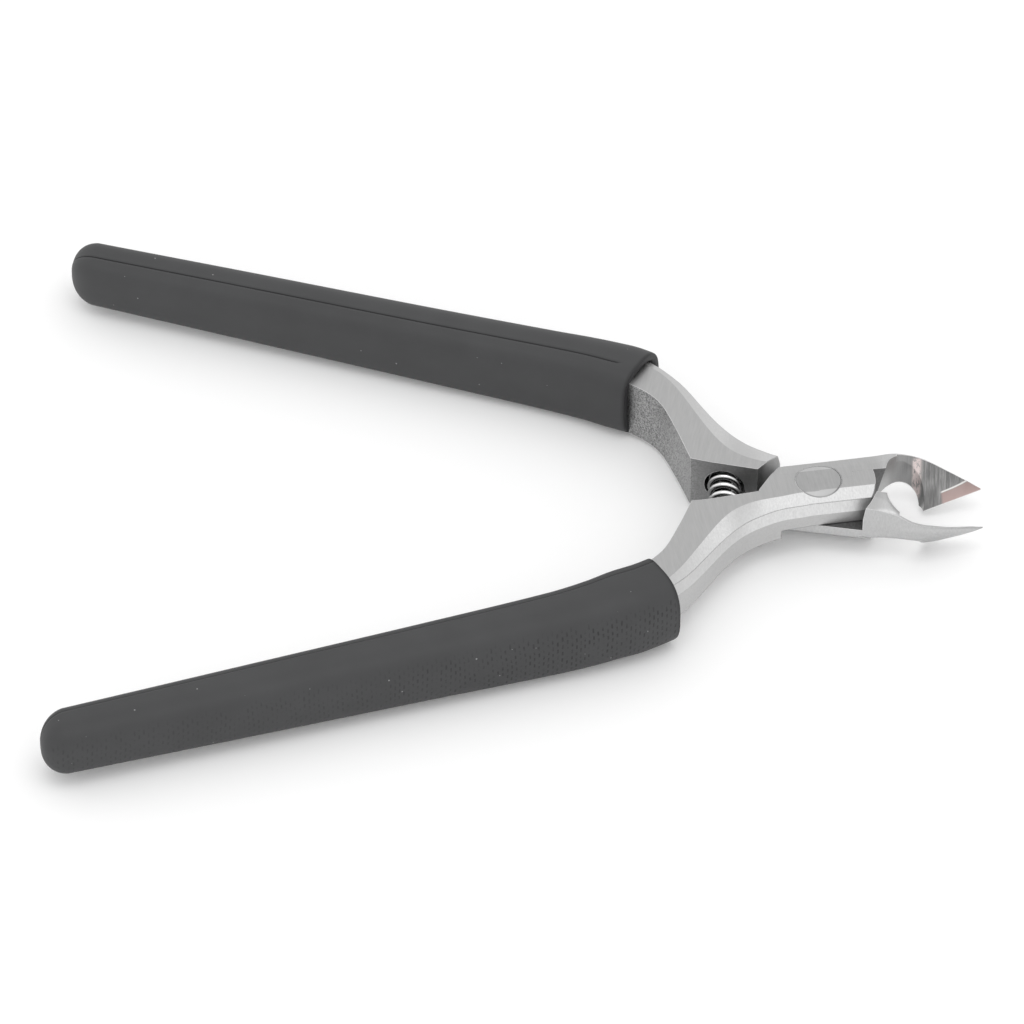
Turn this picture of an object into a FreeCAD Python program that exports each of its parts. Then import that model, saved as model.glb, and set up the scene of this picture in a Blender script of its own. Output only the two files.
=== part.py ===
import FreeCAD, Part
import math
import os

# Cuticle nipper: two crossing arms in a lap joint, a rivet, a coil spring and two grip sleeves.
# Frame: +Z up, origin on the pivot axis in the flat underside of the joint.
# +X runs from the pivot to the tips.  The lower arm's handle is on the +Y side.
# Each arm is drawn in its own closed frame (handle at +Y, cutting edge in the plane y = 0).
# The lower arm is then turned open; the upper arm is first mirrored and turned the other way.
# All sizes are in millimetres and degrees.

V = FreeCAD.Vector

# Joint
JOINT_HEIGHT = 7.7           # underside to top face
OPEN_ANGLE = 9.5             # each arm's turn from closed to open
LAP_GAP = 0.06               # between the two lap faces
JOINT_HALF_WIDTH = 4.3       # pivot axis to the widest part of the side
CREASE_IN = 2.4              # side to the edge of the flat top
BEVEL_IN = 0.45              # side to the crease under the top bevel
BEVEL_DROP = 0.5             # top face to that crease
SIDE_DROP = 2.1              # top face to the upright part of the side
BELLY = 2.6                  # large chamfer along the underside
HEAD_RADIUS = 7.3            # round front of each lap layer
JAW_CLEARANCE = 0.4          # between that round front and the other jaw's root
HEEL_REACH = 5.84            # pivot axis to the flat rear corner of a lap layer
HEEL_BEARING = 218.0         # direction of that flat
SHOULDER_REACH = 7.2         # pivot axis to the shoulder wall of the handle side
SHOULDER_BEARING = 148.0     # direction of that wall
RECESS_X = -7.8              # front end of the flat that faces the other arm
RECESS_Y = 0.8               # that flat's distance from the closed middle plane
RECESS_SLOPE = 0.06          # how it draws away towards the handle

# Rivet
RIVET_TOP_RADIUS = 2.95      # visible head, let into the upper arm
RIVET_TOP_DEPTH = 2.6
RIVET_SHANK_RADIUS = 1.4
RIVET_END_RADIUS = 1.65      # peened end in the underside
RIVET_END_DEPTH = 0.5
RIVET_CLEARANCE = 0.03       # radial and under the peened end, in the lower arm

# Jaws
HEEL_X = 13.8                # rear end of the cutting edge
TIP_X = 21.36                # front end of the cutting edge
HEEL_Z = 0.2
TIP_Z = 2.83
HOLLOW_DEPTH = 0.05          # depth of the hollow grind, as a share of the face's width
ROOT_GAP = 0.9               # jaw root to the closed middle plane
THROAT_LOW_X = 10.3          # centre of the throat bore in the underside
THROAT_LOW_RADIUS = 3.45
THROAT_HIGH_X = 13.0         # centre of the throat bore in the top face
THROAT_HIGH_RADIUS = 4.1

# Handles and sleeves
HANDLE_END_X = {"lower": -103.4, "upper": -104.1}    # rear ends of the sleeves
HANDLE_X0 = -80.0            # a point of the handle's centre line
HANDLE_Y0 = 25.9
HANDLE_SLOPE = -0.1456
TANG_RISE = 0.8              # top of the tang above the joint's top face
TANG_SAG = 0.0               # bottom of the tang below the joint's underside
SHANK_FRONT_HALF = 2.7       # half width of the bar where the sleeve starts
SHANK_REAR_HALF = 1.9        # and near its rear end
SHANK_FRONT_X = -38.0        # where the bar has narrowed behind the tang
SHANK_INSET = 7.0            # solid rubber behind the end of the bar
SLEEVE_FRONT_X = {"lower": -25.5, "upper": -22.9}
SLEEVE_RIM_LEAN = 22.0       # the rim stands nearly square to the tang
SLEEVE_FRONT_WIDTH = 8.6
SLEEVE_REAR_WIDTH = 7.0
SLEEVE_FRONT_HEIGHT = 10.4
SLEEVE_REAR_HEIGHT = 7.4
SLEEVE_NOSE = 3.2            # length over which the closed end is rounded
SLEEVE_LIFT = 0.4            # middle of the sleeve above the middle of the joint
SLEEVE_STATIONS = (          # x, share of front size, sideways shift, flare inwards, extra lift
    (-80.0, 0.3, -0.2, 0.0, 0.0),
    (-55.0, 0.6, -0.25, 0.0, 0.0),
    (-38.0, 0.86, -0.28, 0.0, 0.05),
    (-33.0, 0.93, -0.3, 0.35, 0.2),
    (-29.5, 0.97, -0.45, 0.8, 0.35),
    (-26.0, 1.0, -0.75, 0.85, 0.4),
    (-18.0, 1.0, -2.8, 0.85, 0.4),
)

# Spring
SPRING_X = -11.9             # its axis runs along Y when the arms are open
SPRING_OUTER_RADIUS = 2.25
SPRING_WIRE_RADIUS = 0.375
SPRING_TURNS = 6.8
SPRING_CLEARANCE = 0.35      # radial, in the two pockets
SPRING_END_CLEARANCE = 0.03
POCKET_FLOOR_Y = 6.4         # half the distance between the pocket floors when open

MID_Z = JOINT_HEIGHT / 2
WALL_RADIUS = HEAD_RADIUS + JAW_CLEARANCE
BIG = 60.0


def turned(shape, angle):
    """A copy turned about the pivot axis."""
    copy = shape.copy()
    copy.rotate(V(0, 0, 0), V(0, 0, 1), angle)
    return copy


def polygon_wire(points):
    return Part.makePolygon(points + [points[0]])


def prism(points, z_low, z_high):
    """Upright prism on a plan outline."""
    face = Part.Face(polygon_wire([V(x, y, z_low) for x, y in points]))
    return face.extrude(V(0, 0, z_high - z_low))


def disc(radius, z_low, z_high):
    return Part.makeCylinder(radius, z_high - z_low, V(0, 0, z_low))


def half_plane(reach, bearing):
    """Upright block that fills everything further than reach in the direction bearing."""
    block = prism([(reach, -BIG), (reach + BIG, -BIG), (reach + BIG, BIG), (reach, BIG)], -BIG, BIG)
    return turned(block, bearing)


def smoothed(rows, step):
    """Rows (x, value, value, ...) resampled at even steps of x on a smooth curve through them."""
    slopes = []
    for i in range(len(rows)):
        before = rows[max(i - 1, 0)]
        after = rows[min(i + 1, len(rows) - 1)]
        slopes.append([(b - a) / (after[0] - before[0]) for a, b in zip(before, after)])
    first = rows[0][0]
    last = rows[-1][0]
    count = math.ceil((last - first) / step)
    result = []
    for n in range(count + 1):
        x = first + (last - first) * n / count
        i = max(k for k in range(len(rows) - 1) if rows[k][0] <= x + 1e-9 or k == 0)
        span = rows[i + 1][0] - rows[i][0]
        t = (x - rows[i][0]) / span
        row = []
        for a, b, m, k in zip(rows[i], rows[i + 1], slopes[i], slopes[i + 1]):
            value = (2 * t ** 3 - 3 * t ** 2 + 1) * a + (3 * t ** 2 - 2 * t ** 3) * b
            row.append(value + span * ((t ** 3 - 2 * t ** 2 + t) * m + (t ** 3 - t ** 2) * k))
        result.append(row)
    return result


def bar_section(x, inner, crease, bevel, side, belly, rise=0.0, sag=0.0):
    """Cross-section at x of a bar with a flat inner side and a bevelled outer side."""
    top = JOINT_HEIGHT + rise
    bottom = -sag
    corners = [
        (inner, bottom),
        (inner, top),
        (crease, top),
        (bevel, top - BEVEL_DROP),
        (side, top - SIDE_DROP),
        (side, bottom + BELLY),
        (belly, bottom),
    ]
    return polygon_wire([V(x, y, z) for y, z in corners])


def handle_y(x):
    return HANDLE_Y0 + HANDLE_SLOPE * (x - HANDLE_X0)


def shank_section(x, half):
    """Cross-section of the bar inside the sleeve, tapering in width and height."""
    y = handle_y(x)
    slim = SHANK_FRONT_HALF - half
    sag = TANG_SAG - 2.2 * slim
    rise = TANG_RISE - 2.2 * slim
    return bar_section(x, y - half, y + 0.45 * half, y + 0.8 * half, y + half, y + 0.2 * half, rise, sag)


def tang():
    """Handle side of an arm: the bar in the sleeve and the bend that leads to the joint."""
    # x, inner side, top crease, bevel crease, outer side, belly crease, share of rise and sag
    stations = [
        (-30.0, 14.9, 19.4, 20.6, 21.0, 18.4, 1.0),
        (-28.0, 14.2, 18.8, 20.0, 20.5, 17.9, 1.0),
        (-26.0, 13.3, 18.0, 19.3, 19.8, 17.2, 1.0),
        (-24.0, 12.2, 17.0, 18.3, 18.9, 16.0, 1.0),
        (-22.0, 10.4, 15.5, 16.9, 17.5, 14.4, 0.9),
        (-20.0, 7.3, 13.4, 15.3, 15.9, 12.4, 0.65),
        (-18.0, 3.7, 10.8, 13.2, 13.8, 10.0, 0.35),
        (-16.0, 0.2, 8.2, 10.9, 11.5, 7.6, 0.1),
        (-14.0, -1.4, 5.8, 8.8, 9.3, 5.6, 0.0),
        (-12.0, -1.6, 4.0, 7.05, 7.5, 4.2, 0.0),
        (-10.0, -1.6, 3.0, 5.75, 6.2, 3.3, 0.0),
        (-8.0, -1.6, 2.5, 4.9, 5.35, 2.6, 0.0),
    ]
    half = JOINT_HALF_WIDTH
    for x in (-6.0, -3.0, 0.0):
        widening = 0.012 * x * x
        sides = [half - CREASE_IN + widening, half - BEVEL_IN + widening, half + widening, half - BELLY + widening]
        stations.append((x, -1.6, *sides, 0.0))
    wires = []
    for x, inner, crease, bevel, side, belly, share in smoothed(stations, 2.0):
        wires.append(bar_section(x, inner, crease, bevel, side, belly, TANG_RISE * share, TANG_SAG * share))
    bend = Part.makeLoft(wires, True, False)
    rear = shank_section(HANDLE_END_X["lower"] + SHANK_INSET, SHANK_REAR_HALF)
    bar = [rear, shank_section(SHANK_FRONT_X, SHANK_FRONT_HALF), wires[0]]
    body = bend.fuse(Part.makeLoft(bar, True, True)).removeSplitter()
    near = RECESS_Y
    far = RECESS_Y + RECESS_SLOPE * 20.0
    recess = prism([(RECESS_X, near), (RECESS_X - 20.0, far), (RECESS_X - 20.0, -9), (RECESS_X, -9)], -5, 15)
    return body.cut(recess)


def joint_bar():
    """Straight bar through the joint with both sides bevelled, before its ends are shaped."""
    side = JOINT_HALF_WIDTH
    half = [
        (side - BELLY, 0.0),
        (side, BELLY),
        (side, JOINT_HEIGHT - SIDE_DROP),
        (side - BEVEL_IN, JOINT_HEIGHT - BEVEL_DROP),
        (side - CREASE_IN, JOINT_HEIGHT),
    ]
    corners = half + [(-y, z) for y, z in reversed(half)]
    face = Part.Face(polygon_wire([V(RECESS_X, y, z) for y, z in corners]))
    return face.extrude(V(HEAD_RADIUS - RECESS_X, 0, 0))


def edge_z(x):
    """Height of the cutting edge."""
    return HEEL_Z + (TIP_Z - HEEL_Z) * (x - HEEL_X) / (TIP_X - HEEL_X)


def jaw_blank():
    """Outer shape of a jaw, from inside the joint to the tip, before it is ground hollow."""
    side = JOINT_HALF_WIDTH
    top = JOINT_HEIGHT
    # x, top of the inner side, then (distance from the middle plane, height) of the outer corners:
    # top crease, bevel crease, top of the side, bottom of the side, belly crease
    stations = [
        (2.0, top, side - CREASE_IN, top, side - BEVEL_IN, top - BEVEL_DROP, side, top - SIDE_DROP,
         side, BELLY, side - BELLY, 0.0),
        (8.0, top, 2.0, top, 3.9, top - 0.5, 4.35, top - 2.1, 4.35, 3.0, 1.2, 0.0),
        (10.6, 7.55, 2.9, 7.4, 4.25, 6.95, 4.65, 5.2, 4.4, 3.2, 1.15, 0.0),
        (13.0, 6.75, 3.7, 6.5, 4.55, 6.0, 4.7, 4.7, 4.1, 3.0, 1.25, 0.0),
        (15.0, 5.9, 3.5, 5.6, 4.0, 5.35, 4.05, 4.4, 3.4, 2.9, 1.1, 0.2),
        (17.2, 4.9, 2.5, 4.65, 2.8, 4.5, 2.85, 3.9, 2.35, 2.7, 0.8, 0.9),
        (19.2, 4.0, 1.45, 3.88, 1.6, 3.78, 1.63, 3.42, 1.36, 2.7, 0.5, 1.6),
        (20.6, 3.42, 0.64, 3.32, 0.74, 3.24, 0.76, 3.05, 0.64, 2.75, 0.26, 2.2),
        (TIP_X, 3.06, 0.16, 3.02, 0.21, 2.98, 0.22, 2.92, 0.2, 2.8, 0.1, 2.6),
    ]
    wires = []
    for x, inner_top, *rest in smoothed(stations, 1.0):
        outer = list(zip(rest[0::2], rest[1::2]))
        corners = [(0.0, outer[-1][1]), (0.0, inner_top)] + outer
        wires.append(polygon_wire([V(x, -w, z) for w, z in corners]))
    return Part.makeLoft(wires, True, False)


def hollow_cutter():
    """The slanting hollow grind that rises from the cutting edge to the outer ridge of the jaw."""
    # x, distance of the ridge from the middle plane, its height
    stations = [
        (11.0, 4.05, 6.85),
        (13.0, 4.3, 6.0),
        (15.0, 3.75, 5.4),
        (17.2, 2.65, 4.52),
        (19.2, 1.46, 3.78),
        (20.6, 0.6, 3.24),
        (TIP_X + 0.2, 0.08, 2.98),
    ]
    wires = []
    for x, ridge, height in smoothed(stations, 1.5):
        z = edge_z(x)
        middle = V(x, -HOLLOW_DEPTH * ridge - 0.5 * ridge, z + (0.5 - HOLLOW_DEPTH) * (height - z))
        edge = V(x, 0, z)
        rim = V(x, -ridge, height)
        rest = [rim, V(x, -ridge - 0.3, 14.0), V(x, 4.0, 14.0), V(x, 4.0, z), edge]
        hollow = Part.Arc(edge, middle, rim).toShape()
        wires.append(Part.Wire([hollow] + Part.makePolygon(rest).Edges))
    return Part.makeLoft(wires, True, False)


def throat_cutter():
    """Round bore between the joint and the heel of the edge, leaning like the grind of the jaws."""
    spread = 0.2
    lean = (THROAT_HIGH_X - THROAT_LOW_X) / JOINT_HEIGHT
    flare = (THROAT_HIGH_RADIUS - THROAT_LOW_RADIUS) / JOINT_HEIGHT
    wires = []
    for z in (-spread, JOINT_HEIGHT + spread):
        centre = V(THROAT_LOW_X + lean * z, 0, z)
        wires.append(Part.Wire(Part.makeCircle(THROAT_LOW_RADIUS + flare * z, centre)))
    return Part.makeLoft(wires, True, True)


def spade_cutter():
    """Everything under the slanting flat that meets the hollow grind in the cutting edge."""
    front = TIP_X + 4.0
    back = HEEL_X - 2.0
    plan = [(back, edge_z(back)), (front, edge_z(front)), (front, -8.0), (back, -8.0)]
    face = Part.Face(polygon_wire([V(x, -9.0, z) for x, z in plan]))
    return face.extrude(V(0, 18.0, 0))


def jaw():
    """A jaw in its arm's closed frame, on the -Y side."""
    body = jaw_blank().cut(hollow_cutter())
    root = Part.makeBox(6.0, 2 * ROOT_GAP, 12.0, V(4.5, -ROOT_GAP, -2))
    body = body.cut(root)
    body = body.cut(throat_cutter().cut(disc(WALL_RADIUS, -1, 12)))
    return body.cut(spade_cutter())


def arm_blank():
    """An arm at full height all over, with the round front and the flat rear of its lap layer."""
    centre = joint_bar().common(disc(HEAD_RADIUS, -1, JOINT_HEIGHT + 1).fuse(
        prism([(RECESS_X - 1, -BIG), (0, -BIG), (0, BIG), (RECESS_X - 1, BIG)], -1, JOINT_HEIGHT + 1)))
    blank = tang().fuse([centre, jaw()])
    return blank.cut(half_plane(HEEL_REACH, HEEL_BEARING).common(
        prism([(-BIG, RECESS_Y), (2, RECESS_Y), (2, -BIG), (-BIG, -BIG)], -9, 15)))


def lap_room():
    """Plan region of the joint where only one of the two layers belongs to an arm."""
    block = prism([(-12.0, -9.0), (16.0, -9.0), (16.0, 12.0), (-12.0, 12.0)], -9, 18)
    block = block.cut(half_plane(SHOULDER_REACH, SHOULDER_BEARING))
    jaw_side = prism([(0, RECESS_Y), (16.0, RECESS_Y), (16.0, -9), (0, -9)], -9, 18)
    return block.cut(jaw_side.cut(disc(WALL_RADIUS, -9, 18)))


def rivet_solid(clearance):
    """Rivet stock through both layers, grown by a clearance: head, shank and peened end."""
    shank = Part.makeCylinder(RIVET_SHANK_RADIUS + clearance, JOINT_HEIGHT + 1, V(0, 0, -1))
    head_z = JOINT_HEIGHT - RIVET_TOP_DEPTH
    head = Part.makeCylinder(RIVET_TOP_RADIUS, RIVET_TOP_DEPTH + 1, V(0, 0, head_z))
    end_radius = RIVET_END_RADIUS + clearance
    end = Part.makeCone(end_radius, RIVET_SHANK_RADIUS + clearance, RIVET_END_DEPTH)
    rim = Part.makeCylinder(end_radius, 1.0, V(0, 0, -1))
    return shank.fuse([head, end, rim])


def pocket(side):
    """Spring pocket in the open frame, on the +Y (1) or the -Y (-1) side."""
    start = V(SPRING_X, 0, MID_Z)
    radius = SPRING_OUTER_RADIUS + SPRING_CLEARANCE
    return Part.makeCylinder(radius, POCKET_FLOOR_Y, start, V(0, side, 0))


def mirrored(shape):
    return shape.mirror(V(0, 0, 0), V(0, 1, 0))


def lower_arm():
    """Arm with the lower lap layer, turned open about the pivot axis."""
    upper_half = lap_room().common(prism([(-BIG, -BIG), (BIG, -BIG), (BIG, BIG), (-BIG, BIG)],
                                         MID_Z - LAP_GAP / 2, 20))
    arm = turned(arm_blank().cut(upper_half), -OPEN_ANGLE)
    return arm.cut([rivet_solid(RIVET_CLEARANCE), pocket(1)])


def upper_arm():
    """Arm with the upper lap layer, mirrored and turned open the other way."""
    lower_half = lap_room().common(prism([(-BIG, -BIG), (BIG, -BIG), (BIG, BIG), (-BIG, BIG)],
                                         -20, MID_Z + LAP_GAP / 2))
    arm = turned(mirrored(arm_blank().cut(lower_half)), OPEN_ANGLE)
    return arm.cut([rivet_solid(0.0), pocket(-1)])


def pivot_rivet():
    """Rivet, ground off flush with the top and bevels of the upper arm and with the underside."""
    stock = turned(mirrored(arm_blank()), OPEN_ANGLE)
    lower_room = prism([(-9, -9), (9, -9), (9, 9), (-9, 9)], 0, MID_Z)
    return rivet_solid(0.0).common(stock.fuse(lower_room))


def sleeve_section(x, width, height, centre_y, lift=0.0):
    """Rounded D section: flat towards the other handle, round on the outside."""
    points = []
    count = 16
    for i in range(count):
        angle = 2 * math.pi * (i + 0.5) / count
        across = math.cos(angle)
        up = math.sin(angle)
        fullness = 0.5 if across < 0 else 0.8
        y = math.copysign(abs(across) ** fullness, across) * width / 2
        z = math.copysign(abs(up) ** 0.7, up) * height / 2
        points.append(V(x, centre_y + y, MID_Z + SLEEVE_LIFT + lift + z))
    curve = Part.BSplineCurve()
    curve.interpolate(points, PeriodicFlag=True)
    return Part.Wire(curve.toShape())


def sleeve_blank(rear):
    """Outer shape of a sleeve, longer at the front than it will be cut."""
    wires = []
    for share in (0.02, 0.12, 0.3, 0.6, 1.0):
        x = rear + SLEEVE_NOSE * share
        size = 0.05 + 0.95 * math.sqrt(1 - (1 - share) ** 2)
        centre_y = handle_y(x) + SLEEVE_STATIONS[0][2]
        wires.append(sleeve_section(x, SLEEVE_REAR_WIDTH * size, SLEEVE_REAR_HEIGHT * size, centre_y))
    for x, share, shift, flare, lift in SLEEVE_STATIONS:
        width = SLEEVE_REAR_WIDTH + share * (SLEEVE_FRONT_WIDTH - SLEEVE_REAR_WIDTH) + flare
        height = SLEEVE_REAR_HEIGHT + share * (SLEEVE_FRONT_HEIGHT - SLEEVE_REAR_HEIGHT)
        wires.append(sleeve_section(x, width, height, handle_y(x) + shift - flare / 2, lift))
    return Part.makeLoft(wires, True, True)


def sleeve(side):
    """Rubber sleeve in an arm's closed frame, hollow for the bar and open at the front rim."""
    front_x = SLEEVE_FRONT_X[side]
    beyond = half_plane(0.0, -SLEEVE_RIM_LEAN)
    beyond.translate(V(front_x, handle_y(front_x) - 1.5, 0))
    return sleeve_blank(HANDLE_END_X[side]).cut(beyond).cut(tang())


def return_spring():
    """Compression spring between the floors of the two pockets, its axis along Y."""
    coil_radius = SPRING_OUTER_RADIUS - SPRING_WIRE_RADIUS
    half = POCKET_FLOOR_Y - SPRING_WIRE_RADIUS - SPRING_END_CLEARANCE
    length = 2 * half
    helix = Part.makeHelix(length / SPRING_TURNS, length, coil_radius)
    profile = Part.Wire(Part.makeCircle(SPRING_WIRE_RADIUS, V(coil_radius, 0, 0), V(0, 1, 0)))
    coil = Part.Wire(helix.Edges).makePipeShell([profile], True, True)
    coil.rotate(V(0, 0, 0), V(1, 0, 0), -90)
    coil.translate(V(SPRING_X, -half, MID_Z))
    return coil


def write(node, shape):
    solids = shape.Solids
    shape = solids[0] if len(solids) == 1 else Part.makeCompound(solids)
    shape.exportStep("parts/" + node + ".step")
    print(node, "solids", len(solids), "valid", shape.isValid(), "volume", round(shape.Volume, 2))


os.makedirs("parts", exist_ok=True)
write("lower_arm", lower_arm())
write("upper_arm", upper_arm())
write("pivot_rivet", pivot_rivet())
write("return_spring", return_spring())
write("lower_grip_sleeve", turned(sleeve("lower"), -OPEN_ANGLE))
write("upper_grip_sleeve", turned(mirrored(sleeve("upper")), OPEN_ANGLE))
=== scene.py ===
import math

import bmesh
import bpy
from mathutils import Matrix, Vector


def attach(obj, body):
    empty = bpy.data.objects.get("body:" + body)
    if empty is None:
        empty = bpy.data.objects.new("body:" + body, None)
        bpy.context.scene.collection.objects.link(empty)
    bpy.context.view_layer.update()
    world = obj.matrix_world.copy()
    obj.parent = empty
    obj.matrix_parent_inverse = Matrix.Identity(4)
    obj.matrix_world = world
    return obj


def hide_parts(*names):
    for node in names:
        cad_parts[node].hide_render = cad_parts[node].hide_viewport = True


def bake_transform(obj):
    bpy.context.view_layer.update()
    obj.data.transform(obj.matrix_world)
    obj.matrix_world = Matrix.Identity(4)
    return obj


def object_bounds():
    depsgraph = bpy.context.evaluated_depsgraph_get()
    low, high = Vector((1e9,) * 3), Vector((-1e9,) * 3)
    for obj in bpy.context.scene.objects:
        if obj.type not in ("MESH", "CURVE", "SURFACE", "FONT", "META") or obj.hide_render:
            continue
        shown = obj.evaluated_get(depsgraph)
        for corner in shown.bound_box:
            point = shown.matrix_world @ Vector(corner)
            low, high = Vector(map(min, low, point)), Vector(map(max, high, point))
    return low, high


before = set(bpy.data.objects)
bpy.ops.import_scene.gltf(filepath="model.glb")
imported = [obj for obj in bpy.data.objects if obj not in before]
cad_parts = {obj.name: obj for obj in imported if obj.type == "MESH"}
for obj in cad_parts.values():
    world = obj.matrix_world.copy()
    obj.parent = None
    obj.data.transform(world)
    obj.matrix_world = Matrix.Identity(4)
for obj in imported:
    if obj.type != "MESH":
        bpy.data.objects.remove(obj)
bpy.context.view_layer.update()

# Lengths are in millimetres until MM turns them into metres.
# The closed frame of an arm: pivot's axis at the origin, jaw towards +X, handle towards -X on the +Y side.
MM = 0.001
FAR, NEAR = 1.0, -1.0            # side of the handle along Y: lower arm, upper arm
OPEN_ANGLE = math.radians(9.5)   # each arm's turn from closed to open
JOINT_MID_Z = 3.85               # middle of the joint's height, where the two lap layers meet
RIVET_RADIUS = 2.9               # to the dark rim of its head

# Handles and grip sleeves
HANDLE_X, HANDLE_Y, HANDLE_SLOPE = -80.0, 25.9, -0.1456   # a point of the handle's centre line and its slope
SLEEVE_REAR_X = {FAR: -103.4, NEAR: -104.1}
SLEEVE_FRONT_X = {FAR: -25.5, NEAR: -22.9}
SLEEVE_MID_Z = JOINT_MID_Z + 0.4
SLEEVE_NOSE = 3.2                # length of the domed closed end
DOME_START = 0.05                # size of its first row, as a share of the section
DOME_FLATTENING = 0.09           # pulls the dome in a little half way
INNER_FULLNESS, OUTER_FULLNESS, HEIGHT_FULLNESS = 0.5, 0.8, 0.7   # powers of the D section: smaller is squarer
HEIGHT_TO_WIDTH = 1.15           # of the section, roughly, to space its points
RIM_LEAN = math.tan(math.radians(22.0))
RIM_SHIFT = -1.5                 # from the handle's centre line to the rim's middle
RIM_LENGTH = 3.0                 # the stretch that leans into the rim
# share of that stretch and depth under the surface, from the handle over the rim to its inside
RIM_ROLL = (
    (0.12, 0.0), (0.25, 0.0), (0.4, 0.0), (0.55, 0.0), (0.7, 0.0), (0.82, 0.0), (0.9, 0.0),
    (0.95, 0.02), (0.985, 0.08), (0.998, 0.17), (1.0, 0.28), (1.0, 0.5), (1.0, 0.8),
    (0.97, 0.98), (0.9, 1.05), (0.75, 1.1), (0.5, 1.15),
)
GROOVE_DEPTH = 0.22
GROOVE_HALF_WIDTH = 0.042        # along a section of half width 1
GROOVE_PLACE = {FAR: -0.3, NEAR: -0.48}   # across the same section
GROOVE_END = {FAR: 2.6, NEAR: 0.4}        # from the groove's end to the rim
GROOVE_CLEAR = 0.03                       # the even points keep this far from the groove's own
GROOVE_FADE_REAR, GROOVE_FADE_FRONT = 0.7, 0.6
SECTION_POINTS = 88                       # spaced evenly, before the grooves' points
ROW_STEP = 0.6
NOSE_STEPS = 22
# x, width, height, sideways shift and lift of the section
SLEEVE_STATIONS = (
    (-105.0, 7.0, 7.4, -0.2, 0.0),
    (-99.0, 7.1, 7.55, -0.2, 0.0),
    (-80.0, 7.48, 8.3, -0.2, 0.0),
    (-55.0, 7.96, 9.2, -0.25, 0.0),
    (-38.0, 8.376, 9.98, -0.28, 0.05),
    (-33.0, 8.838, 10.19, -0.475, 0.2),
    (-29.5, 9.352, 10.31, -0.85, 0.35),
    (-26.0, 9.45, 10.4, -1.175, 0.4),
    (-18.0, 9.45, 10.4, -3.225, 0.4),
)

# Return spring, its axis along Y
SPRING_X = -11.9
SPRING_HALF_LENGTH = 6.38
COIL_RADIUS = 1.875              # to the middle of the wire
WIRE_RADIUS = 0.375
SPRING_TURNS = 8.6
CLOSED_TURNS = 0.95              # closed turns at each end
CLOSED_PITCH = 0.98 * 2 * WIRE_RADIUS   # nearly touching
COIL_START = 0.9                 # angle of the wire's end, in radians
GROUND_OFF = 0.12                # ground from the wire at each end

# Camera and stage
VIEW_MIDDLE = Vector((-39.2 * MM, -6.1 * MM, 7.7 * MM))
VIEW_ELEVATION = math.radians(42.0)
VIEW_DISTANCE = 1.1465
FLOOR_GAP = 0.02 * MM

scene = bpy.context.scene
scene.view_settings.view_transform = "Standard"


# ---------------------------------------------------------------- materials

class Shader:
    """A material and short ways to add its nodes."""

    def __init__(self, name, metallic=0.0):
        self.material = bpy.data.materials.new(name)
        self.material.use_nodes = True
        self.tree = self.material.node_tree
        self.surface = self.tree.nodes["Principled BSDF"]
        self.surface.inputs["Metallic"].default_value = metallic

    def add(self, kind, **inputs):
        """A node of that kind, with its inputs set by name."""
        node = self.tree.nodes.new("ShaderNode" + kind)
        for key, value in inputs.items():
            self.put(node.inputs[key.replace("_", " ")], value)
        return node

    def put(self, socket, value):
        """Link another node's output to the socket, or set a constant."""
        if isinstance(value, bpy.types.NodeSocket):
            self.tree.links.new(value, socket)
        else:
            socket.default_value = value

    def math(self, operation, a, b=0.0, c=0.0):
        node = self.add("Math")
        node.operation = operation
        for socket, value in zip(node.inputs, (a, b, c)):
            self.put(socket, value)
        return node.outputs[0]

    def product(self, *factors):
        """All the factors multiplied, such as the limits of a zone."""
        value = factors[0]
        for factor in factors[1:]:
            value = self.math("MULTIPLY", value, factor)
        return value

    def scaled(self, vector, scale):
        """The vector times one scale for each axis."""
        node = self.add("VectorMath")
        node.operation = "MULTIPLY"
        self.put(node.inputs[0], vector)
        node.inputs[1].default_value = scale
        return node.outputs[0]

    def split(self, vector):
        """X, Y and Z of the vector."""
        return self.add("SeparateXYZ", Vector=vector).outputs

    def radius(self, x, y):
        """Distance from the Z axis."""
        return self.math("SQRT", self.math("ADD", self.product(x, x), self.product(y, y)))

    def step(self, value, low, high):
        """0 at low, 1 at high and a smooth rise between them."""
        node = self.add("MapRange", Value=value, From_Min=low, From_Max=high)
        node.interpolation_type = "SMOOTHSTEP"
        return node.outputs[0]

    def noise(self, vector, scale, detail=2.0, rough=0.5):
        """Noise with so many features to a millimetre along each axis."""
        place = self.scaled(vector, scale)
        return self.add("TexNoise", Scale=1.0, Detail=detail, Roughness=rough, Vector=place).outputs["Fac"]

    def mix(self, factor, a, b, kind="RGBA"):
        """Between two colours, or two values of another kind."""
        node = self.add("Mix")
        node.data_type = kind
        for key, value in (("Factor", factor), ("A", a), ("B", b)):
            self.put(node.inputs[key], value)
        return node.outputs["Result"]

    def blend(self, factor, a, b):
        """Between two numbers."""
        return self.mix(factor, a, b, "FLOAT")

    def set(self, colour, roughness, height, distance, strength, normal=None):
        """The surface's colour, roughness and relief."""
        bump = self.add("Bump", Distance=distance, Strength=strength, Height=height)
        if normal is not None:
            self.put(bump.inputs["Normal"], normal)
        self.put(self.surface.inputs["Base Color"], colour)
        self.put(self.surface.inputs["Roughness"], roughness)
        self.put(self.surface.inputs["Normal"], bump.outputs["Normal"])


def grey(value, warm=0.0):
    """A grey, leaning to red where warm is above 0."""
    return (value * (1 + warm), value, value * (1 - warm), 1.0)


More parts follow.
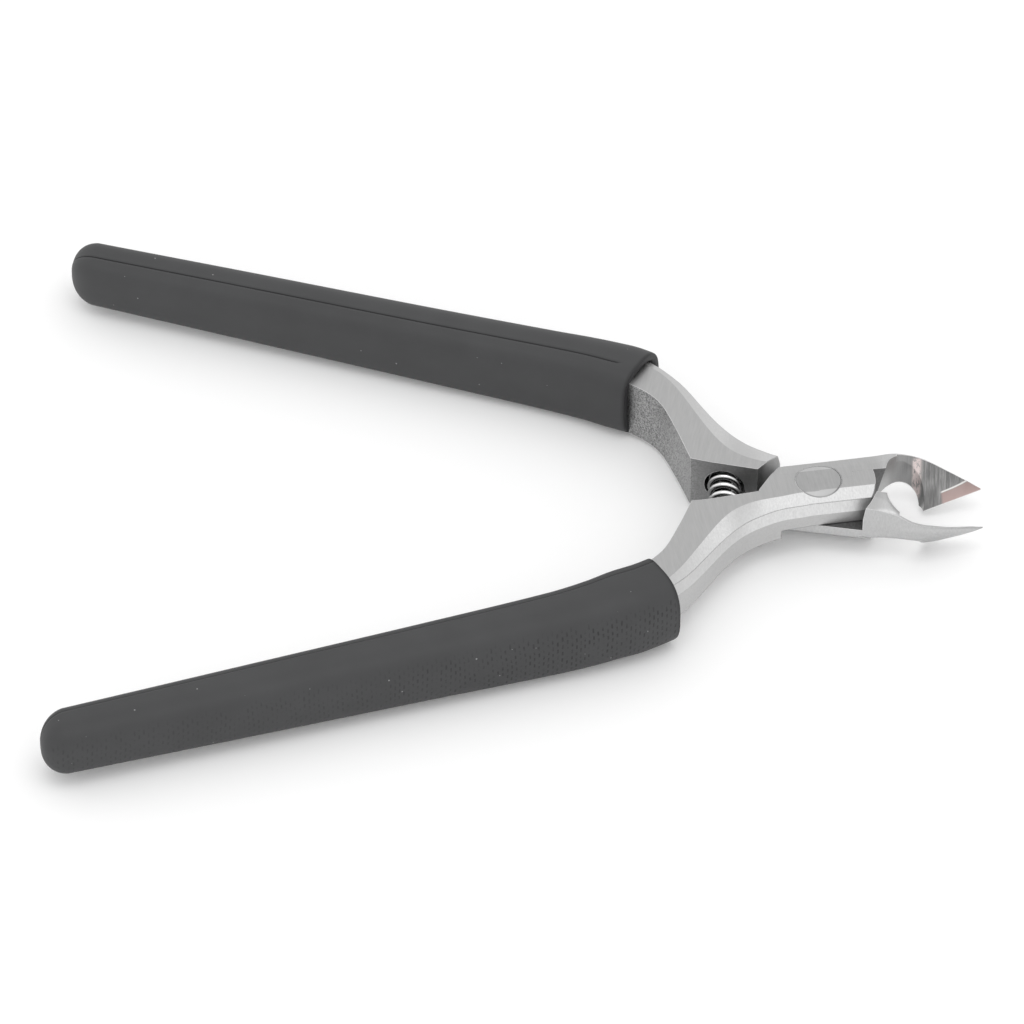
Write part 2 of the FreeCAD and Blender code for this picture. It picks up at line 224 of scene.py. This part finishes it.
def arm_frame(s, side):
    """Position in millimetres and normal in the arm's closed frame, its handle on the +Y side."""
    place = s.add("TexCoord")
    out = []
    for socket, scale in ((place.outputs["Object"], 1.0 / MM), (place.outputs["Normal"], 1.0)):
        turn = s.add("VectorRotate", Vector=s.scaled(socket, (scale, scale, scale)), Angle=OPEN_ANGLE * side)
        turn.rotation_type = "Z_AXIS"
        out.append(s.scaled(turn.outputs[0], (1.0, side, 1.0)))
    return out


def eased(s, radius, samples):
    """Normal with every edge rounded to that radius."""
    bevel = s.add("Bevel", Radius=radius)
    bevel.samples = samples
    return bevel.outputs["Normal"]


def edge_turn(s, radius):
    """How far the surface turns near an edge: 0 on flat faces."""
    dot = s.add("VectorMath")
    dot.operation = "DOT_PRODUCT"
    s.put(dot.inputs[0], eased(s, radius, 8))
    s.put(dot.inputs[1], s.add("NewGeometry").outputs["Normal"])
    return s.math("SUBTRACT", 1.0, dot.outputs["Value"])


# Zones of an arm along X in its closed frame: each fades in from the first value to the second
BEND_START = (-26.0, -13.0)
JOINT_START = (-7.0, -6.0)
JOINT_FRONT = (9.5, 7.5)
JAW_START = (9.2, 10.4)
EDGE_START = (16.2, 16.6)
# Zones by the normal, the same way: its Z on the flat top, its Y on sides that face out
FLAT_TOP = (0.974, 0.995)
OUTER_SIDE = (0.02, -0.02)


def jaw_grind_and_light(s, mm, x, y, z, mottle):
    """Colour of the hollow-ground jaw up to its cutting edge at y 0, with its painted shade, reflection and
    highlight, and the grinding lines.
    """
    # the lines fan out along the jaw
    fan = s.add("CombineXYZ", X=s.math("MULTIPLY_ADD", y, 0.18, x), Y=y, Z=z).outputs[0]
    lines = s.noise(fan, (4.2, 0.35, 0.35), 5.0, 0.7)
    colour = s.mix(s.step(lines, 0.3, 0.72), grey(0.20), grey(0.40, 0.01))
    throat = s.mix(lines, grey(0.26), grey(0.38))
    colour = s.mix(s.step(x, 15.0, 12.0), colour, throat)
    heel_shade = s.product(s.step(y, -2.2, -1.2), s.step(x, 16.4, 15.4), s.step(x, 13.0, 14.0), 0.5)
    colour = s.mix(heel_shade, colour, grey(0.12))

    # soft bright reflection between the throat and the hollow
    lean = s.math("MULTIPLY_ADD", y, 0.22, x)
    broken = s.step(s.noise(mm, (2.6, 1.2, 1.2), 4.0, 0.8), 0.32, 0.5)
    glow = s.product(s.step(lean, 12.1, 12.5), s.step(lean, 13.7, 13.1), s.step(y, -1.7, -2.2),
                     s.step(y, -4.3, -4.0), broken, 0.85)
    colour = s.mix(glow, colour, (0.92, 0.80, 0.78, 1.0))

    # honed facet along the edge, painted with a pinkish-brown reflection, and a painted highlight line where
    # it meets the hollow
    edge = s.step(x, *EDGE_START)
    depth = s.math("ADD", y, s.math("MULTIPLY_ADD", x, 0.02, 0.75))
    honed_reflection = s.mix(mottle, (0.40, 0.29, 0.27, 1.0), (0.50, 0.40, 0.385, 1.0))
    colour = s.mix(s.product(s.step(depth, 0.0, 0.08), edge), colour, honed_reflection)
    off_line = s.math("ABSOLUTE", s.math("ADD", depth, 0.06))
    return s.mix(s.product(s.step(off_line, 0.11, 0.03), edge), colour, grey(0.85, 0.02)), lines


def arm_steel(name, side, bevel_highlight_strength):
    """Forged steel: satin flats, grainy forged sides and a hollow-ground jaw, with painted highlights on the
    bevels and edges and painted shade in the recess, gaps and creases.
    """
    s = Shader(name, metallic=1.0)
    mm, normal = arm_frame(s, side)
    x, y, z = s.split(mm)
    nx, ny, nz = s.split(normal)
    streaks = s.noise(mm, (5.0, 0.35, 1.5), 4.0, 0.6)
    grain = s.noise(mm, (3.6, 3.6, 3.6), 3.0, 0.65)
    mottle = s.noise(mm, (0.35, 0.35, 0.35), 3.0)
    speckle = s.noise(mm, (5.0, 2.2, 2.2), 2.0, 0.7)
    pits = s.noise(mm, (4.2, 4.2, 4.2), 3.0, 0.75)

    # forged outer side of the bend
    colour = s.mix(grain, grey(0.46), grey(0.62, 0.004))
    # bevels, speckled and painted bright as a highlight, the more so on the arm whose bevels face the light
    level = s.step(nz, *FLAT_TOP)
    before_jaw = s.step(x, *JOINT_FRONT)
    painted_bevel_highlight = s.product(s.step(nz, 0.12, 0.3), s.step(x, *BEND_START), before_jaw, s.step(ny, 0.02, 0.1),
                       bevel_highlight_strength, s.math("SUBTRACT", 1.0, level))
    colour = s.mix(painted_bevel_highlight, colour, s.mix(speckle, grey(0.58), grey(0.88)))
    # top flats, with the slopes on the outer side of the jaw
    slope = s.product(s.step(nz, 0.6, 0.9), s.step(ny, *OUTER_SIDE))
    top = s.math("MAXIMUM", level, slope)
    colour = s.mix(top, colour, s.mix(streaks, grey(0.40), grey(0.52, 0.003)))
    # forged inner side of the bend, pitted; in the spring's recess it is painted darker still as shade
    inward = s.step(s.math("MULTIPLY", ny, -1.0), 0.08, 0.25)
    inner = s.product(inward, s.step(nz, 0.5, 0.2), s.step(x, -7.0, -7.8))
    colour = s.mix(inner, colour, s.mix(s.step(pits, 0.36, 0.62), grey(0.18), grey(0.50)))
    recess_shade = s.product(inner, s.step(x, -27.0, -16.0), s.step(x, -6.5, -8.5), s.step(x, -20.0, -14.0))
    colour = s.mix(recess_shade, colour, s.mix(grain, grey(0.20), grey(0.36)))

    jaw_side = s.product(s.step(x, *JAW_START), s.step(ny, 0.12, 0.3), s.step(nz, -0.2, 0.1))
    # the jaw's grinding lines, with its painted shade, reflection and highlight
    ground, lines = jaw_grind_and_light(s, mm, x, y, z, mottle)
    colour = s.mix(jaw_side, colour, ground)

    # thin broken ring where the rivet's head ends
    off_ring = s.math("SUBTRACT", s.radius(x, y), s.math("MULTIPLY_ADD", mottle, 0.1, RIVET_RADIUS))
    ring = s.product(s.step(s.math("ABSOLUTE", off_ring), 0.13, 0.03), s.step(nz, 0.2, 0.4),
                     s.step(mottle, 0.36, 0.52), 0.75)
    colour = s.mix(ring, colour, grey(0.1))

    # outer side of the jaw, ground smooth
    cheek = s.product(s.step(x, *JOINT_START), s.step(ny, *OUTER_SIDE),
                      s.math("SUBTRACT", 1.0, s.product(top, before_jaw)))
    colour = s.mix(cheek, colour, s.mix(speckle, grey(0.45), grey(0.63)))

    # faces in the joint's gaps, painted dark with grain as the shade there: the lap's layer, the joint's front
    # end and the wall behind the jaw
    ledge = s.product(s.step(z, 3.95, 3.88), s.step(nz, 0.9, 0.99), s.step(x, 7.7, 7.4))
    front_end = s.product(s.step(s.math("ABSOLUTE", nx), 0.55, 0.8), s.step(x, 4.0, 5.0), s.step(x, 8.0, 7.5),
                          s.step(z, 2.7, 3.1))
    wall = s.product(s.step(y, -1.5, -1.2), s.step(y, 0.6, 0.2), s.step(ny, 0.4, 0.7), s.step(x, 3.0, 4.0),
                     s.step(x, 10.4, 9.8), 0.8)
    gap_shade = s.math("MAXIMUM", s.math("MAXIMUM", ledge, front_end), wall)
    colour = s.mix(gap_shade, colour, s.mix(grain, grey(0.05), grey(0.24)))

    # painted shade in soft dark creases between the bevels, and a painted bright highlight on the other edges
    turn = edge_turn(s, 0.16 * MM)
    outward = s.product(s.step(ny, 0.1, 0.2), s.step(x, 9.0, 7.5))
    crease_shade = s.product(s.step(turn, 0.002, 0.012), outward, 0.8)
    colour = s.mix(crease_shade, colour, grey(0.30))
    edge_highlight = s.product(s.step(turn, 0.05, 0.2), s.math("SUBTRACT", 1.0, outward), 0.85)
    colour = s.mix(edge_highlight, colour, grey(0.97))

    roughness = s.blend(jaw_side, s.blend(top, 0.42, 0.34), 0.3)
    relief = s.blend(jaw_side, s.blend(top, grain, s.product(streaks, 0.25)), s.product(lines, 0.5))
    relief = s.product(relief, s.blend(inner, 0.4, 1.6))
    # the jaw's outer side is rounded more than the rest
    rounded = s.product(cheek, s.step(x, 7.0, 8.5))
    smooth = s.mix(rounded, eased(s, 0.05 * MM, 4), eased(s, 0.9 * MM, 12), "VECTOR")
    s.set(colour, s.math("MULTIPLY_ADD", grain, 0.12, roughness), relief, 0.05 * MM, 0.5, smooth)
    return s.material


def rivet_steel():
    """Rivet ground flush with the upper arm, slightly mottled, its rim darker towards the jaw."""
    s = Shader("rivet_satin", metallic=1.0)
    mm, normal = arm_frame(s, NEAR)
    x, y, _ = s.split(mm)
    nz = s.split(normal)["Z"]
    streaks = s.noise(mm, (5.0, 0.35, 1.5), 4.0, 0.6)
    mottle = s.noise(mm, (0.7, 0.7, 0.7), 3.0)
    colour = s.mix(s.blend(0.4, streaks, mottle), grey(0.30), grey(0.54))
    colour = s.mix(s.step(nz, *FLAT_TOP), s.mix(mottle, grey(0.46), grey(0.62)), colour)
    jawward = s.step(s.math("ADD", x, s.math("MULTIPLY", y, -0.6)), -1.5, 2.0)
    rim = s.step(s.radius(x, y), RIVET_RADIUS - 0.12, RIVET_RADIUS)
    colour = s.mix(s.product(rim, s.blend(jawward, 0.3, 0.9)), colour, grey(0.08))
    s.set(colour, s.math("MULTIPLY_ADD", mottle, 0.15, 0.33), s.math("ADD", streaks, mottle), 0.02 * MM, 0.4)
    return s.material


def spring_steel():
    """Drawn wire with faint draw marks, painted bright on top as a highlight and dark on its sides as shade.
    """
    s = Shader("spring_wire", metallic=1.0)
    place = s.add("TexCoord")
    mm = s.scaled(place.outputs["Object"], (1.0 / MM, 1.0 / MM, 1.0 / MM))
    marks = s.noise(mm, (1.2, 6.0, 1.2), 3.0)
    # painted highlight on the top of each coil, painted shade on its sides
    top_highlight = s.step(s.split(place.outputs["Normal"])["Z"], 0.25, 0.85)
    colour = s.mix(top_highlight, s.mix(marks, grey(0.10), grey(0.26)), grey(0.92))
    s.set(colour, s.math("MULTIPLY_ADD", marks, 0.14, 0.12), marks, 0.01 * MM, 0.4)
    return s.material


def woven_pits(s, mm, x, z, ny, nz, cloud, pitting):
    """Staggered short pits on the outer side, stronger towards the joint."""
    warp = s.product(s.math("SUBTRACT", cloud, 0.5), 1.6)
    column = s.math("ADD", s.product(x, 1.65), warp)
    row = s.math("ADD", s.product(z, 0.95), s.product(warp, 0.6))
    odd = s.math("MODULO", s.math("ABSOLUTE", s.math("FLOOR", column)), 2.0)
    row = s.math("ADD", row, s.product(odd, 0.5))
    off_column, off_row = (s.math("ABSOLUTE", s.math("SUBTRACT", s.math("FRACT", value), 0.5))
                           for value in (column, row))
    outer_side = s.product(s.step(ny, 0.5, 0.85), s.step(nz, 0.75, 0.2))
    patches = s.step(s.noise(mm, (0.9, 0.5, 0.9), 3.0), 0.34, 0.62)
    strength = s.blend(s.step(x, -70.0, -38.0), 0.45 * pitting, pitting)
    return s.product(s.step(off_column, 0.26, 0.1), s.step(off_row, 0.36, 0.2), outer_side, patches, strength)


def rim_y(side):
    """Y of the rim's middle."""
    return HANDLE_Y + HANDLE_SLOPE * (SLEEVE_FRONT_X[side] - HANDLE_X) + RIM_SHIFT


def rubber(name, side, pitting):
    """Matte dark rubber: woven pits on the outer side, a dark seam and rim, and lint."""
    s = Shader(name)
    mm, normal = arm_frame(s, side)
    x, y, z = s.split(mm)
    _, ny, nz = s.split(normal)
    cloud = s.noise(mm, (0.16, 0.16, 0.16), 3.0)
    fine = s.noise(mm, (4.0, 4.0, 4.0), 4.0, 0.7)
    colour = s.mix(s.blend(0.35, cloud, fine), (0.035, 0.035, 0.036, 1), (0.060, 0.061, 0.063, 1))

    pits = woven_pits(s, mm, x, z, ny, nz, cloud, pitting)
    colour = s.mix(s.product(pits, 0.8), colour, (0.014, 0.014, 0.015, 1))

    seam = s.add("Attribute")
    seam.attribute_name = "seam"
    colour = s.mix(s.step(seam.outputs["Fac"], 0.25, 0.9), colour, (0.010, 0.010, 0.011, 1))

    rim_at = SLEEVE_FRONT_X[side] - RIM_LEAN * rim_y(side)
    rim = s.step(s.math("MULTIPLY_ADD", y, -RIM_LEAN, x), rim_at - 0.7, rim_at - 0.1)
    colour = s.mix(s.product(rim, 0.7), colour, (0.012, 0.012, 0.013, 1))

    # a speck of lint in some cells, of a size drawn from the cell's colour
    cell = s.add("TexVoronoi", Scale=1.0, Vector=s.scaled(mm, (0.62, 0.62, 0.62)))
    drawn = s.add("SeparateColor", Color=cell.outputs["Color"]).outputs[0]
    size = s.math("SUBTRACT", s.product(drawn, 0.12), 0.045)
    lint = s.math("LESS_THAN", cell.outputs["Distance"], size)
    colour = s.mix(s.product(lint, 0.55), colour, grey(0.42))

    s.surface.inputs["Specular IOR Level"].default_value = 0.42
    relief = s.math("SUBTRACT", s.product(fine, 0.35), pits)
    s.set(colour, s.math("MULTIPLY_ADD", fine, 0.15, 0.5), relief, 0.06 * MM, 0.55)
    return s.material


# the last number scales the painted bevel highlight: full on the upper arm, whose bevels face the light
for node, material in (("lower_arm", arm_steel("satin_lower", FAR, 0.4)),
                       ("upper_arm", arm_steel("satin_upper", NEAR, 1.0)),
                       ("pivot_rivet", rivet_steel())):
    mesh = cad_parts[node].data
    mesh.materials.clear()
    mesh.materials.append(material)


# ---------------------------------------------------------------- meshes

def tube(name, rows, material, close_end, seam=None):
    """A smooth tube through rows of points, its first row closed. Seam has one value for each point."""
    bm = bmesh.new()
    loops = [[bm.verts.new(p) for p in row] for row in rows]
    count = len(rows[0])
    for a, b in zip(loops, loops[1:]):
        for i in range(count):
            k = (i + 1) % count
            bm.faces.new((a[i], a[k], b[k], b[i]))
    for end in (0, -1) if close_end else (0,):
        centre = bm.verts.new(sum((Vector(p) for p in rows[end]), Vector()) / count)
        for i in range(count):
            bm.faces.new((loops[end][i], loops[end][(i + 1) % count], centre))
    bmesh.ops.recalc_face_normals(bm, faces=bm.faces)
    mesh = bpy.data.meshes.new(name)
    bm.to_mesh(mesh)
    bm.free()
    mesh.materials.append(material)
    mesh.shade_smooth()
    if seam:
        values = [v for row in seam for v in row]
        values += [0.0] * (len(mesh.vertices) - len(values))
        mesh.attributes.new("seam", "FLOAT", "POINT").data.foreach_set("value", values)
    obj = bpy.data.objects.new(name, mesh)
    scene.collection.objects.link(obj)
    return obj


def section_size(x):
    """Width, height, sideways shift and lift of the sleeve's section, eased between its stations."""
    last = len(SLEEVE_STATIONS) - 1
    k = next((k for k in range(last - 1) if x <= SLEEVE_STATIONS[k + 1][0]), last - 1)
    before, a, b, after = (SLEEVE_STATIONS[min(max(i, 0), last)] for i in range(k - 1, k + 3))
    span = b[0] - a[0]
    t = min(max((x - a[0]) / span, 0.0), 1.0)
    t2, t3 = t * t, t * t * t
    out = []
    for item in range(1, 5):
        slope_a = (b[item] - before[item]) / (b[0] - before[0]) * span
        slope_b = (after[item] - a[item]) / (after[0] - a[0]) * span
        out.append((2 * t3 - 3 * t2 + 1) * a[item] + (t3 - 2 * t2 + t) * slope_a
                   + (3 * t2 - 2 * t3) * b[item] + (t3 - t2) * slope_b)
    return out


def unit_section(angle):
    """Point of the rounded D section of half width and half height 1: flat towards the other handle."""
    across = math.cos(angle)
    up = math.sin(angle)
    y = math.copysign(abs(across) ** (INNER_FULLNESS if across < 0 else OUTER_FULLNESS), across)
    z = math.copysign(abs(up) ** HEIGHT_FULLNESS, up)
    return y, z


def section_loop(count, groove_at):
    """Points round the unit section, evenly spaced by length, with extra ones at the two parting grooves.

    Each point is its y, its z and its share of the groove's depth."""
    samples = 1440
    fine = [unit_section(2 * math.pi * i / samples) for i in range(samples)]
    lengths = [0.0]
    for a, b in zip(fine, fine[1:] + fine[:1]):
        lengths.append(lengths[-1] + math.hypot(b[0] - a[0], HEIGHT_TO_WIDTH * (b[1] - a[1])))
    total = lengths[-1]
    grooves = []
    for sign in (1, -1):
        nearest = min((abs(fine[i][0] - groove_at), i) for i in range(samples) if fine[i][1] * sign > 0)[1]
        for offset in (-1.0, -0.5, 0.0, 0.5, 1.0):
            at = (lengths[nearest] + offset * GROOVE_HALF_WIDTH) % total
            grooves.append((at, 1.0 - abs(offset)))
    even = [total * i / count for i in range(count)]
    points = [(at, 0.0) for at in even if all(abs(at - groove[0]) > GROOVE_CLEAR for groove in grooves)]
    out = []
    k = 0
    for at, share in sorted(points + grooves):
        while lengths[k + 1] < at:
            k += 1
        part = (at - lengths[k]) / (lengths[k + 1] - lengths[k])
        a, b = fine[k], fine[(k + 1) % samples]
        out.append((a[0] + (b[0] - a[0]) * part, a[1] + (b[1] - a[1]) * part, share))
    return out


def sleeve_mesh(name, side, material):
    """Grip sleeve: domed closed end, parting grooves, flared front with a rolled rim, open for the arm."""
    rear, front = SLEEVE_REAR_X[side], SLEEVE_FRONT_X[side]
    groove_end = front - GROOVE_END[side]
    loop = section_loop(SECTION_POINTS, GROOVE_PLACE[side])
    opened = Matrix.Rotation(-OPEN_ANGLE, 3, "Z")

    def dome_at(x):
        """Size of the section at x as a share of its full size, less than 1 only on the dome."""
        share = min(max((x - rear) / SLEEVE_NOSE, 0.0), 1.0)
        dome = DOME_START + (1 - DOME_START) * math.sqrt(max(1 - (1 - share) ** 2, 0.0))
        return dome * (1 - DOME_FLATTENING * share * (1 - share))

    def point(x, unit, depth):
        """Y and z of the section's point at x, that depth under the surface."""
        width, height, shift, lift = section_size(x)
        centre = HANDLE_Y + HANDLE_SLOPE * (x - HANDLE_X) + shift
        size = dome_at(x)
        return (centre + unit[0] * (width / 2 * size - depth),
                SLEEVE_MID_Z + lift + unit[1] * (height / 2 * size - depth))

    def rim_x(unit, inset):
        """X where the point's line meets the leaning plane of the rim."""
        x = front
        for _ in range(6):
            x = front + RIM_LEAN * (point(x, unit, inset)[0] - rim_y(side))
        return x

    rows = []
    seam = []

    def add_row(places, inset=0.0):
        """One row of points, each at its own x; the groove fades out at both of its ends."""
        row = []
        marks = []
        for x, unit in zip(places, loop):
            fade = min(1.0, (x - rear) / GROOVE_FADE_REAR)
            fade *= min(1.0, max(0.0, (groove_end - x) / GROOVE_FADE_FRONT))
            mark = unit[2] * fade if inset == 0 else 0.0
            y, z = point(x, unit, inset + GROOVE_DEPTH * mark)
            p = opened @ Vector((x, y, z))
            row.append((p.x * MM, p.y * side * MM, p.z * MM))
            marks.append(mark)
        rows.append(row)
        seam.append(marks)

    # along the dome and the handle, closer together at the closed end
    reach = front - rear - RIM_LENGTH
    distances = [SLEEVE_NOSE * (0.02 + 0.98 * (i / NOSE_STEPS) ** 2) for i in range(NOSE_STEPS + 1)]
    rows_along = int((reach - SLEEVE_NOSE) / ROW_STEP)
    distances += [SLEEVE_NOSE + ROW_STEP * i for i in range(1, rows_along + 1)]
    if reach - distances[-1] <= ROW_STEP / 2:
        distances.pop()
    for distance in distances + [reach]:
        add_row([rear + distance] * len(loop))

    # the last stretch leans into the rim, rolls over it and turns inwards
    last = rear + reach
    for share, inset in RIM_ROLL:
        add_row([last + (rim_x(unit, inset) - last) * share for unit in loop], inset)
    return tube(name, rows, material, False, seam)


def spring_mesh(name, material):
    """Compression spring with closed, ground ends."""
    turn_steps, wire_steps = 56, 18
    open_turns = SPRING_TURNS - 2 * CLOSED_TURNS
    pitch = 2 * (SPRING_HALF_LENGTH - WIRE_RADIUS - CLOSED_TURNS * CLOSED_PITCH) / open_turns
    ground = SPRING_HALF_LENGTH - GROUND_OFF
    rows = []
    for i in range(int(SPRING_TURNS * turn_steps) + 1):
        turn = i / turn_steps
        closed = min(turn, CLOSED_TURNS) + max(turn - SPRING_TURNS + CLOSED_TURNS, 0.0)
        along = CLOSED_PITCH * closed + pitch * (turn - closed)
        y = -SPRING_HALF_LENGTH + WIRE_RADIUS + along
        angle = 2 * math.pi * turn + COIL_START
        row = []
        for k in range(wire_steps):
            around = 2 * math.pi * k / wire_steps
            r = COIL_RADIUS + WIRE_RADIUS * math.cos(around)
            flat = max(-ground, min(ground, y + WIRE_RADIUS * math.sin(around)))
            x = SPRING_X + r * math.cos(angle)
            z = JOINT_MID_Z + r * math.sin(angle)
            row.append((x * MM, flat * MM, z * MM))
        rows.append(row)
    return tube(name, rows, material, True)


for body, side, pitting in (("lower", FAR, 0.55), ("upper", NEAR, 1.0)):
    material = rubber("rubber_" + body, side, pitting)
    grip = sleeve_mesh(body + "_grip_sleeve_visual", side, material)
    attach(grip, body + "_body")
    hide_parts(body + "_grip_sleeve")

coil = spring_mesh("return_spring_visual", spring_steel())
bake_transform(coil)
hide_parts("return_spring")


# ---------------------------------------------------------------- stage, light and camera

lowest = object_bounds()[0][2]
bpy.ops.mesh.primitive_plane_add(size=4.0, location=(0, 0, lowest - FLOOR_GAP))
floor = bpy.context.object
floor.name = "floor"
pale = Shader("floor")
pale.surface.inputs["Base Color"].default_value = grey(0.93)
pale.surface.inputs["Roughness"].default_value = 0.9
pale.surface.inputs["Emission Color"].default_value = (1, 1, 1, 1)
pale.surface.inputs["Emission Strength"].default_value = 0.08
floor.data.materials.append(pale.material)

world = bpy.data.worlds.new("studio")
scene.world = world
world.use_nodes = True
world.node_tree.nodes["Background"].inputs["Color"].default_value = (1, 1, 1, 1)
world.node_tree.nodes["Background"].inputs["Strength"].default_value = 0.96

lamp = bpy.data.lights.new("top", "AREA")
lamp.shape = "RECTANGLE"
lamp.size, lamp.size_y = 0.5, 0.3
lamp.energy = 0.55
light = bpy.data.objects.new("top", lamp)
scene.collection.objects.link(light)
light.location = (-0.04, -0.12, 0.6)
light.rotation_euler = (VIEW_MIDDLE - light.location).to_track_quat("-Z", "Y").to_euler()

camera_data = bpy.data.cameras.new("camera")
camera_data.lens = 316.4
camera_data.sensor_width = 36.0
camera_data.clip_end = 10.0
camera = bpy.data.objects.new("camera", camera_data)
scene.collection.objects.link(camera)
back = Vector((0, -math.cos(VIEW_ELEVATION), math.sin(VIEW_ELEVATION)))
camera.location = VIEW_MIDDLE + VIEW_DISTANCE * back
camera.rotation_euler = (math.radians(90) - VIEW_ELEVATION, 0, 0)
scene.camera = camera
